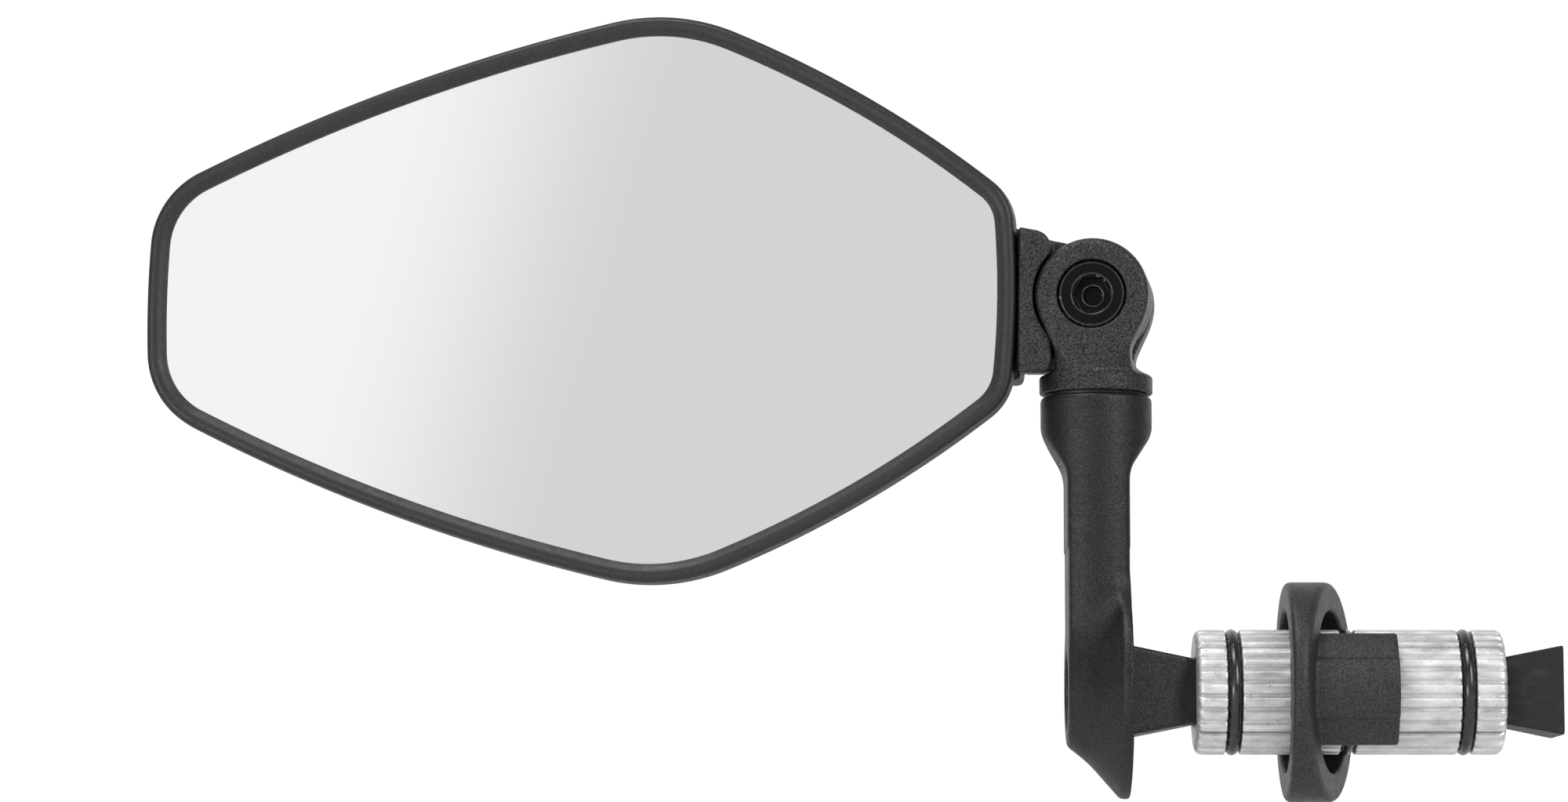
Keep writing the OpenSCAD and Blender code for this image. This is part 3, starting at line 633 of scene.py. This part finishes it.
def make_fork():
    """Fork: two ears, a flared neck, a conical flange and the swivel spigot."""
    front, back = FORK_LOW[1], FORK_HIGH[1]
    inner_front, inner_back = DISC_LOW[1], DISC_HIGH[1]
    bottom = WASHER_HIGH[2] - HINGE.z + 0.03
    flange_top = bottom + 2.6
    neck_end = -10.3                      # where the neck meets the flange's cone
    neck = 5.2                            # half the neck's width
    neck_flare = 0.55
    slot_floor = -8.95
    nut_across = NUT_HIGH[2] - NUT_LOW[2]
    nut_seat = NUT_LOW[1]
    recess_r, recess_depth = 5.15, 4.1
    spigot_r = 4.0
    groove_half, groove_floor = 2.02, 3.3
    groove_z = GRUB_LOW[2] / 2 + GRUB_HIGH[2] / 2 - HINGE.z

    def field(x, y, z):
        depth = between(y, front, back)
        r = np.hypot(x, z)
        post = np.hypot(x, y)
        ears = most(r - EAR_R, depth, 1.7)
        width = neck + neck_flare * ease(-z, 7.4, 10.6)
        stem = most(most(np.abs(x) - width, depth, 1.6), between(z, bottom + 1, -3))
        stem = most(stem, post - (EAR_R - 0.25 + 0.42 * (z - flange_top)), 0.8)
        upper = least(ears, stem, 3.4)
        upper = most(upper, depth, 0.5)
        upper = most(upper, post - EAR_R - 0.5 - 9 * ease(z, -13, -8))
        slope = (EAR_R - neck - 0.6) / (neck_end - flange_top)
        cone = (post - EAR_R + (z - flange_top) * slope) / math.hypot(1, slope)
        flange = most(most(post - EAR_R, cone, 0.3), most(bottom - z, z - neck_end - 0.3), 0.35)
        body = least(upper, flange, 1.2)
        body = most(body, np.minimum(post - EAR_R, -11.6 - z))
        slot = most(between(y, inner_front, inner_back), slot_floor - z, 0.8)
        body = cut(body, slot, 0.35)
        body = cut(body, r - HINGE_BORE_R)
        body = cut(body, most(r - recess_r, y - front - recess_depth), 0.25)
        body = cut(body, most(hexagon(x, z, nut_across / 2 + 0.12), nut_seat - y), 0.4)
        spigot = most(post - spigot_r, between(z, FORK_LOW[2], bottom + 1), 0.5)
        groove = most(np.abs(z - groove_z) - groove_half, groove_floor - post, 0.3)
        return least(body, cut(spigot, groove, 0.2))

    add_field("fork_casting", field, FORK_LOW, FORK_HIGH, 0.21, FORK, "fork", "coated_casting", ["fork"])


def socket_screw(along, r, flat_a, flat_b, head_r, head_h, shank_r, length, threaded_from, across=5.0,
                 pitch=1.0, pilot_depth=4.0):
    """Field of a low-head socket screw. along runs from the head's face into the shank."""
    head = most(r - head_r, between(along, 0, head_h), 0.2)
    head = most(head, (r - head_r + 0.3 - along) / math.sqrt(2), 0.1)
    socket = most(hexagon(flat_a, flat_b, across / 2), along - head_h * 0.62)
    mouth = (r - across * 0.6 - 0.02 + along) / math.sqrt(2)
    head = cut(cut(head, socket, 0.12), mouth, 0.12)
    if pilot_depth:
        head = cut(head, most(r - shank_r / 2, along - pilot_depth), 0.1)
    turn = np.arctan2(flat_b, flat_a) / (2 * math.pi)
    phase = np.abs((along / pitch - turn) % 1 - 0.5) * 2
    depth = 0.55 * pitch * ease(along, threaded_from, threaded_from + 1)
    shank = r - shank_r + depth * (1 - ease(phase, 0.1, 0.9))
    shank = most(shank, between(along, head_h - 1, length), 0.3)
    shank = most(shank, (r - shank_r - length + 0.7 + along) / math.sqrt(2), 0.2)
    if pilot_depth:
        shank = cut(shank, most(r - shank_r / 2, along - pilot_depth), 0.1)
    return least(head, shank, 0.15)


def make_hinge_screw():
    start = SCREW_LOW[1]
    length = SCREW_HIGH[1] - start
    threaded_from = 9

    def field(x, y, z):
        r = np.hypot(x, z)
        return socket_screw(y - start, r, x, z, M6_HEAD_R, M6_HEAD_H, M6_R, length, threaded_from)

    add_field("hinge_socket_screw", field, SCREW_LOW, SCREW_HIGH, 0.12, FORK, "fork", "black_screw",
              ["hinge_screw"])


def make_hinge_nut():
    def field(x, y, z):
        r = np.hypot(x, z)
        body = most(hexagon(x, z, 5), between(y, NUT_LOW[1], NUT_HIGH[1]), 0.15)
        body = most(body, (r - 5.35 + y - NUT_HIGH[1]) / math.sqrt(2), 0.2)
        return cut(body, least(r - 3.02, (r - 3.5 - (y - NUT_HIGH[1])) / math.sqrt(2)), 0.1)

    add_field("hinge_hex_nut", field, NUT_LOW, NUT_HIGH, 0.13, FORK, "fork", "zinc_screw", ["hinge_nut"])


def make_block_screws():
    places, head_r = screw_places()
    start = BLOCK_SCREW_HIGH[1]
    length = start - BLOCK_SCREW_LOW[1]
    for number, place in enumerate(places):
        def field(x, y, z):
            dx = x - place
            return socket_screw(start - y, np.hypot(dx, z), dx, z, head_r, 1, 2, length, 2, across=2.5,
                                pitch=0.7, pilot_depth=0)

        low = [place - head_r, BLOCK_SCREW_LOW[1], -head_r]
        high = [place + head_r, start, head_r]
        add_field(f"block_screw_{number + 1}", field, low, high, 0.12, HEAD, "head", "zinc_screw",
                  ["block_screws"])


# ---------------------------------------------------------------- arm and foot


def make_arm():
    """Arm: collar, tapers, column, cone-shaped foot cap and the near wedge, in one moulding."""
    left, right = 2 * POST_X, 0.0
    cap_r = ARM_HIGH[1]
    top = ARM_HIGH[2]
    collar_r = (WASHER_HIGH[1] - WASHER_LOW[1]) / 2 + 1
    half = -left / 2
    taper_h = 5.6
    taper_top = top - taper_h
    taper_bottom = taper_top - taper_h
    taper = (collar_r - half) / (taper_top - taper_bottom)
    flat_r, lip = 6.9, 1.4                # the cap's outer flat, and the straight edge by the bar
    column_from = cap_r + 5               # above it the sides are the column's own
    bolt_recess_r, bolt_bore_r, grub_r = 5.7, 3.3, 2.0
    cone_rise = (cap_r - flat_r) / (-left - lip)
    wedge_half = WEDGE_HIGH[1]
    bush_r = (BUSH_HIGH[1] - BUSH_LOW[1]) / 2
    grub_z = (GRUB_LOW[2] + GRUB_HIGH[2]) / 2

    def field(x, y, z):
        dx = np.abs(x - POST_X)
        around = np.hypot(y, np.minimum(z, 0))
        round_side = np.hypot(dx, around) - collar_r
        slanted = (dx - half - taper * (z - taper_bottom)) / math.hypot(1, taper)
        slab = least(dx - half, slanted, 1.0)
        column = most(most(round_side, slab, 0.7), z - top, 0.9)
        r = np.hypot(y, z)
        cone = (r - flat_r - (x - left) * cone_rise) / math.hypot(1, cone_rise)
        cap = most(most(cone, r - cap_r, 0.4), left - x, 0.7)
        body = least(column, most(cap, x - right), 3.2)
        body = most(body, np.minimum(left - x, column_from - z), 0.5)
        body = most(body, least(r - cap_r, column - 0.3, 2.5))
        body = most(body, np.minimum(x - right, column_from - z), 0.3)
        near_half = wedge_half - WEDGE_SLOPE * x
        wedge = most(np.abs(y) - near_half, np.abs(z) - near_half, 0.6)
        wedge = most(wedge, between(x, -2, ARM_HIGH[0]), 0.4)
        body = least(body, wedge, 0.5)
        body = cut(body, most(r - bolt_recess_r, x - BOLT_WASHER_HIGH[0]), 0.5)
        body = cut(body, r - bolt_bore_r, 0.2)
        body = cut(body, most(np.hypot(x - POST_X, y) - bush_r, BUSH_LOW[2] - z), 0.2)
        return cut(body, most(np.hypot(x - POST_X, z - grub_z) - grub_r, -y), 0.5)

    add_field("arm_moulding", field, ARM_LOW, ARM_HIGH, 0.29, ROW, "foot", "arm_plastic", ["arm"])


def make_grub_screw():
    grub_z = (GRUB_LOW[2] + GRUB_HIGH[2]) / 2

    def field(x, y, z):
        dx, dz = x - POST_X, z - grub_z
        r = np.hypot(dx, dz)
        body = most(r - 2, between(y, GRUB_LOW[1] + 0.8, GRUB_HIGH[1]), 0.25)
        body = least(body, most(r - 1.4, between(y, GRUB_LOW[1], GRUB_HIGH[1] - 1), 0.15), 0.1)
        return cut(body, most(hexagon(dx, dz, 1), GRUB_HIGH[1] - 1.6 - y), 0.15)

    add_field("grub_screw", field, GRUB_LOW, GRUB_HIGH, 0.1, ROW, "foot", "black_screw",
              ["swivel_grub_screw"])


# ---------------------------------------------------------------- expanding plug

RIBS = 7
SEGMENT_TURNS = {"top": 0, "back": -90, "bottom": 180, "front": 90}


def ring_places():
    return [sum(p[0] for p in box_of(f"o_ring_{n}")) / 2 for n in ("near", "middle", "far")]


def segment_field():
    """One ribbed quarter, facing +Z."""
    start, end = SEGMENT_LOW[0], SEGMENT_HIGH[0]
    middle, half = (start + end) / 2, (end - start) / 2
    floor = 3.2                           # nearest that a quarter comes to the bolt's axis
    play = 0.05                           # between the quarters' slopes and the wedges
    parting = 0.125                       # from each quarter's side to the 45 degree plane
    pitch = math.pi / 2 / RIBS
    groove_half = 1.1
    ring_floor = PLUG_R + 0.12 - 2
    wedge_half = WEDGE_HIGH[1]
    rings = ring_places()

    def field(x, y, z):
        r = np.hypot(y, z)
        turn = np.arctan2(y, z) + math.pi / 4
        to_groove = np.abs((turn / pitch + 0.5) % 1 - 0.5) * pitch * PLUG_R
        crest = 1 - to_groove / (pitch * PLUG_R / 2)
        relief = 0.42 * (1 - ease(to_groove, 0.06, 0.55)) + 0.08 * crest ** 2
        body = most(r - PLUG_R + relief, np.abs(x - middle) - half, 1.3)
        for place in rings:
            body = cut(body, most(np.abs(x - place) - groove_half, ring_floor - r, 0.3), 0.3)
        near = wedge_half - WEDGE_SLOPE * x + play
        far = wedge_half - WEDGE_SLOPE * (WEDGE_HIGH[0] - x) + play
        inner = np.maximum(floor, np.maximum(near, far))
        body = most(body, inner - z, 0.3)
        return most(body, (np.abs(y) - z) / math.sqrt(2) + parting, 0.25)

    return field


def make_segments():
    low = [SEGMENT_LOW[0], SEGMENT_LOW[1], 3]
    verts, quads = field_mesh(segment_field(), low, SEGMENT_HIGH, 0.17)
    for name, degrees in SEGMENT_TURNS.items():
        place = Matrix.Rotation(math.radians(degrees), 4, "X")
        add_piece(f"plug_{name}", verts, quads, place, f"segment_{name}", "cast_zinc", [f"segment_{name}"])


def make_rubber_rings():
    """Each rubber ring is four arcs that go with the segments, their ends hidden in each other."""
    section_r, overlap = 0.98, math.radians(50)
    centre_r = PLUG_R + 0.12 - 1
    turns = np.linspace(-overlap, overlap, 51)
    around = np.linspace(0, 2 * math.pi, 33)[:-1]
    flash = 0.035 * np.exp(-(np.sin(around) / 0.12) ** 2)
    r = section_r - 0.03 + flash
    n = len(around)
    for name, degrees in SEGMENT_TURNS.items():
        verts, faces = [], []
        for place in ring_places():
            base = len(verts)
            for t in turns:
                tucked = r * (1 - 0.12 * ease(abs(math.degrees(t)), 45, 47))
                out = centre_r + tucked * np.cos(around)
                side = place + tucked * np.sin(around)
                verts += np.stack([side, out * math.sin(t), out * math.cos(t)], 1).tolist()
            for j in range(len(turns) - 1):
                for i in range(n):
                    a, b = base + j * n + i, base + j * n + (i + 1) % n
                    faces.append([a, a + n, b + n, b])
            faces.append([base + i for i in range(n)])
            faces.append([base + (len(turns) - 1) * n + i for i in reversed(range(n))])
        place = Matrix.Rotation(math.radians(degrees), 4, "X")
        nodes = ["o_ring_near", "o_ring_middle", "o_ring_far"]
        piece = add_piece(f"rubber_rings_{name}", np.array(verts), faces, place, f"segment_{name}",
                          "ring_rubber", nodes)
        harden(piece, 60)


def make_far_wedge():
    wide = WEDGE_HIGH[1]
    trim = 0.15                           # flat of the corners, inside the plug's radius
    bore_r, mouth_r = 3.05, 3.7

    def field(x, y, z):
        half = wide - WEDGE_SLOPE * (WEDGE_HIGH[0] - x)
        body = most(np.abs(y) - half, np.abs(z) - half, 0.25)
        body = most(body, (np.abs(y) + np.abs(z)) / math.sqrt(2) - PLUG_R + trim, 0.3)
        body = most(body, between(x, WEDGE_LOW[0], WEDGE_HIGH[0]), 0.3)
        r = np.hypot(y, z)
        body = cut(body, r - bore_r, 0.2)
        return cut(body, (r - mouth_r + WEDGE_HIGH[0] - x) / math.sqrt(2), 0.2)

    add_field("far_wedge_casting", field, WEDGE_LOW, WEDGE_HIGH, 0.17, ROW, "wedge", "wedge_coated",
              ["far_wedge"])


def make_bolt():
    start = BOLT_LOW[0]
    head_r = BOLT_HIGH[1]
    length = BOLT_HIGH[0] - start
    threaded_from = 44

    def field(x, y, z):
        r = np.hypot(y, z)
        return socket_screw(x - start, r, y, z, head_r, M6_HEAD_H, M6_R, length, threaded_from)

    add_field("expander_socket_bolt", field, BOLT_LOW, BOLT_HIGH, 0.15, ROW, "bolt", "zinc_screw",
              ["expander_bolt"])


def make_bolt_washer():
    bore_r = 3.2

    def field(x, y, z):
        r = np.hypot(y, z)
        depth = between(x, BOLT_WASHER_LOW[0], BOLT_WASHER_HIGH[0])
        return most(between(r, bore_r, BOLT_WASHER_HIGH[1]), depth, 0.25)

    add_field("foot_washer", field, BOLT_WASHER_LOW, BOLT_WASHER_HIGH, 0.16, ROW, "foot", "zinc_screw",
              ["bolt_washer"])


# ---------------------------------------------------------------- grip-end ring


def make_grip_ring():
    """Ring between a flat and a slanting face, with a front and a back tongue."""
    outer = (RING_HIGH[1] - RING_LOW[1]) / 2
    start, end = RING_LOW[0], RING_HIGH[0]
    bore, tongue_bore = 12.0, 11.1
    thin, thick = 2.3, 12.2               # the ring's width in front and behind
    lean = (thick - thin) / (2 * outer)
    middle = (thick + thin) / 2

    def field(x, y, z):
        r = np.hypot(y, z)
        slanted = (x - start - middle - lean * y) / math.hypot(1, lean)
        ring = most(r - outer, most(start - x, slanted), 1.1)
        ring = cut(ring, r - bore, 0.5)
        side = (np.abs(z) - np.abs(y)) / math.sqrt(2)
        swell = 0.4 * ease(-side, 4.6, 5.1) + 0.5 * ease(-side, 4.6, 6) * (1 - ease(x - start, 3, 13))
        tongue = most(r - bore + 0.15 - swell, tongue_bore - r, 0.35)
        tongue = most(tongue, side, 0.5)
        tongue = most(tongue, between(x, start, end), 0.6)
        return least(ring, tongue, 0.5)

    add_field("grip_end_ring", field, RING_LOW, RING_HIGH, 0.26, ROW, "ring", "grip_ring_plastic",
              ["grip_ring"])


# ---------------------------------------------------------------- carried-over CAD nodes


def dress_cad_nodes():
    """Inner pieces keep their CAD mesh and take a material."""
    kept = {"glass_pad": "pad_foam", "friction_discs": "friction_plastic",
            "swivel_washer": "friction_plastic", "swivel_bush": "brass_bush"}
    for node, slot in kept.items():
        piece = frame["nodes"][node]
        piece.data.materials.clear()
        piece.data.materials.append(MATERIALS[slot])


# ---------------------------------------------------------------- stage


def make_floor():
    size, drop = 4.0, 0.045
    mesh = bpy.data.meshes.new("floor")
    corners = [(-size, -size, -drop), (size, -size, -drop), (size, size, -drop), (-size, size, -drop)]
    mesh.from_pydata(corners, [], [(0, 1, 2, 3)])
    floor = bpy.data.objects.new("floor", mesh)
    bpy.context.scene.collection.objects.link(floor)
    g = Graph("floor")
    cloud = g.spread(g.noise(9, 3), 0.98, 1.02)
    mesh.materials.append(g.finish(Base_Color=g.shade((0.86, 0.86, 0.86), cloud), Roughness=0.8))


def make_light(name, place, aim, size, power):
    data = bpy.data.lights.new(name, "AREA")
    data.shape = "RECTANGLE"
    data.size, data.size_y = size
    data.energy = power
    light = bpy.data.objects.new(name, data)
    light.location = place
    light.rotation_mode = "QUATERNION"
    light.rotation_quaternion = (Vector(aim) - Vector(place)).to_track_quat("-Z", "Y")
    bpy.context.scene.collection.objects.link(light)


def make_world():
    """Soft studio surroundings: white behind, dark in front, and there a card, white on the free
    end's side and grey on the other, in the direction that the glass reflects."""
    world = bpy.data.worlds.new("studio")
    bpy.context.scene.world = world
    world.use_nodes = True
    tree = world.node_tree
    background = tree.nodes["Background"]
    direction = tree.nodes.new("ShaderNodeTexCoord").outputs["Generated"]

    def along(axis, low, high):
        """0 to 1 as the direction's part along the axis goes from low to high."""
        dot = tree.nodes.new("ShaderNodeVectorMath")
        dot.operation = "DOT_PRODUCT"
        tree.links.new(direction, dot.inputs[0])
        dot.inputs[1].default_value = axis
        ramp = tree.nodes.new("ShaderNodeMapRange")
        ramp.interpolation_type = "SMOOTHSTEP"
        tree.links.new(dot.outputs["Value"], ramp.inputs["Value"])
        ramp.inputs["From Min"].default_value = low
        ramp.inputs["From Max"].default_value = high
        return ramp.outputs["Result"]

    def mixed(amount, a, b):
        mix = tree.nodes.new("ShaderNodeMix")
        mix.data_type = "RGBA"
        tree.links.new(amount, mix.inputs[0])
        for socket, value in ((mix.inputs[6], a), (mix.inputs[7], b)):
            if isinstance(value, bpy.types.NodeSocket):
                tree.links.new(value, socket)
            else:
                socket.default_value = (value, value, value, 1)
        return mix.outputs[2]

    turned, rise = math.radians(18.6), math.radians(7.7)
    edge = Vector((-math.sin(turned), -math.cos(turned), math.tan(rise))).normalized()
    across = Vector((-math.cos(turned), math.sin(turned), 0.28)).normalized()
    offset = edge.dot(across)
    spread = math.radians(1.7)
    card = mixed(along(across, offset - spread, offset + spread), 0.675, 0.925)
    front = mixed(along(edge, 0.86, 0.965), 0.12, card)
    tree.links.new(mixed(along((0, 1, 0), 0.2, 0.85), front, 1.05), background.inputs["Color"])
    background.inputs["Strength"].default_value = 1.0


def make_camera():
    data = bpy.data.cameras.new("camera")
    data.sensor_width = 36
    data.lens = 108.36
    data.shift_x, data.shift_y = -0.046, 0.00425
    data.clip_start, data.clip_end = 0.05, 20
    camera = bpy.data.objects.new("camera", data)
    distance, rise = 0.7, math.radians(6.5)
    beside, below, nearer = 0.03582, 0.01666, 0.00478   # the aim, from the hinge and the post
    forward = Vector((0, math.cos(rise), math.sin(rise)))
    target = Vector((HINGE.x * MM - beside, -nearer, HINGE.z * MM - below))
    camera.location = target - forward * distance
    camera.rotation_mode = "QUATERNION"
    camera.rotation_quaternion = forward.to_track_quat("-Z", "Y")
    bpy.context.scene.collection.objects.link(camera)
    bpy.context.scene.camera = camera


# ---------------------------------------------------------------- everything

for make in (make_glass, make_rim, make_shell, make_seat, make_block, make_fork, make_hinge_screw,
             make_hinge_nut, make_block_screws, make_arm, make_grub_screw, make_segments,
             make_rubber_rings, make_far_wedge, make_bolt, make_bolt_washer, make_grip_ring,
             dress_cad_nodes, make_floor, make_world, make_camera):
    make()

KEY_AIM = (-0.04, 0, 0.05)
make_light("key", (0.75, -0.8, 0.55), KEY_AIM, (0.35, 0.5), 7.5)
make_light("top", (-0.3, -0.35, 0.95), KEY_AIM, (0.5, 0.35), 6.5)
make_light("low_fill", (-0.6, -0.6, -0.03), KEY_AIM, (0.3, 0.2), 3)

bpy.context.scene.view_settings.view_transform = "Standard"
